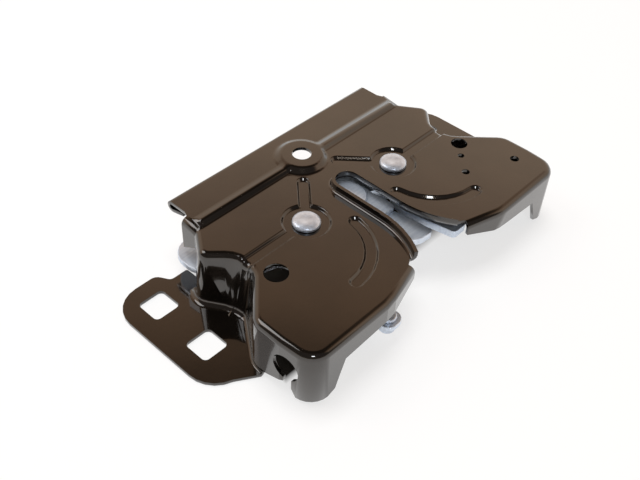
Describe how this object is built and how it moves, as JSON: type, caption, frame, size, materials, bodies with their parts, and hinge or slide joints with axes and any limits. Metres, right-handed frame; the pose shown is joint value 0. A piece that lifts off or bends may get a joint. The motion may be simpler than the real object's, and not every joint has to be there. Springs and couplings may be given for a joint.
{
  "type": "bonnet latch",
  "caption": "Stamped black-coated bonnet latch: waisted housing with folded walls, a slot for the striker, side fixing ears, and a rotary catch, pawl and levers riveted underneath.",
  "frame": {"origin": "below the middle of the bounding box in plan, at the height of the ears' undersides", "axes": "+X along the rear strip, +Y from the striker slot's mouth towards the strip's rolled edge, +Z out of the plate's top face"},
  "size_m": [0.1986, 0.1014, 0.031],
  "materials": {
    "coat": "gloss black coat",
    "zinc": "bright zinc",
    "rivet_steel": "satin",
    "spring_wire": "drawn wire",
    "bush": "plain bronze"
  },
  "bodies": {
    "housing": {"housing_plate": "coat", "catch_rivet": "rivet_steel", "pawl_rivet": "rivet_steel", "catch_bush": "bush", "pawl_bush": "bush", "catch_washer": "zinc", "pawl_washer": "zinc", "pawl_spacer": "zinc", "catch_spring": "spring_wire", "lift_spring": "spring_wire", "pawl_spring": "spring_wire"},
    "catch": {"catch": "zinc", "catch_stud": "rivet_steel"},
    "lift": {"lift_lever": "zinc", "lift_pad": "zinc", "lift_stud": "rivet_steel"},
    "pawl": {"pawl": "zinc", "pawl_pin": "rivet_steel", "pawl_stud": "rivet_steel"},
    "release": {"release_lever": "zinc", "cable_post": "rivet_steel"}
  },
  "joints": [
    {"name": "release_pivot", "type": "hinge", "parent": "housing", "child": "release", "pos_m": [-0.0273, 0.00248, 0.0095], "axis": [0, 0, 1], "range_deg": [-11, 0], "stiffness_Nm_per_rad": 0.2, "springref_deg": 20.05, "deforming": ["pawl_spring"]},
    {"name": "pawl_pivot", "type": "hinge", "parent": "housing", "child": "pawl", "pos_m": [0.0273, 0.00248, 0.0194], "axis": [0, 0, 1], "range_deg": [-11, 0]},
    {"name": "catch_pivot", "type": "hinge", "parent": "housing", "child": "catch", "pos_m": [-0.0273, 0.00248, 0.0194], "axis": [0, 0, 1], "range_deg": [-31, 0], "deforming": ["catch_spring"]},
    {"name": "lift_pivot", "type": "hinge", "parent": "housing", "child": "lift", "pos_m": [-0.0273, 0.00248, 0.0227], "axis": [0, 0, 1], "range_deg": [0, 10], "stiffness_Nm_per_rad": 0.1, "springref_deg": -28.65, "deforming": ["lift_spring"]}
  ],
  "couplings": [
    {"joint": "pawl_pivot", "follows": "release_pivot", "ratio": 1},
    {"joint": "catch_pivot", "follows": "release_pivot", "ratio": 2.8}
  ]
}
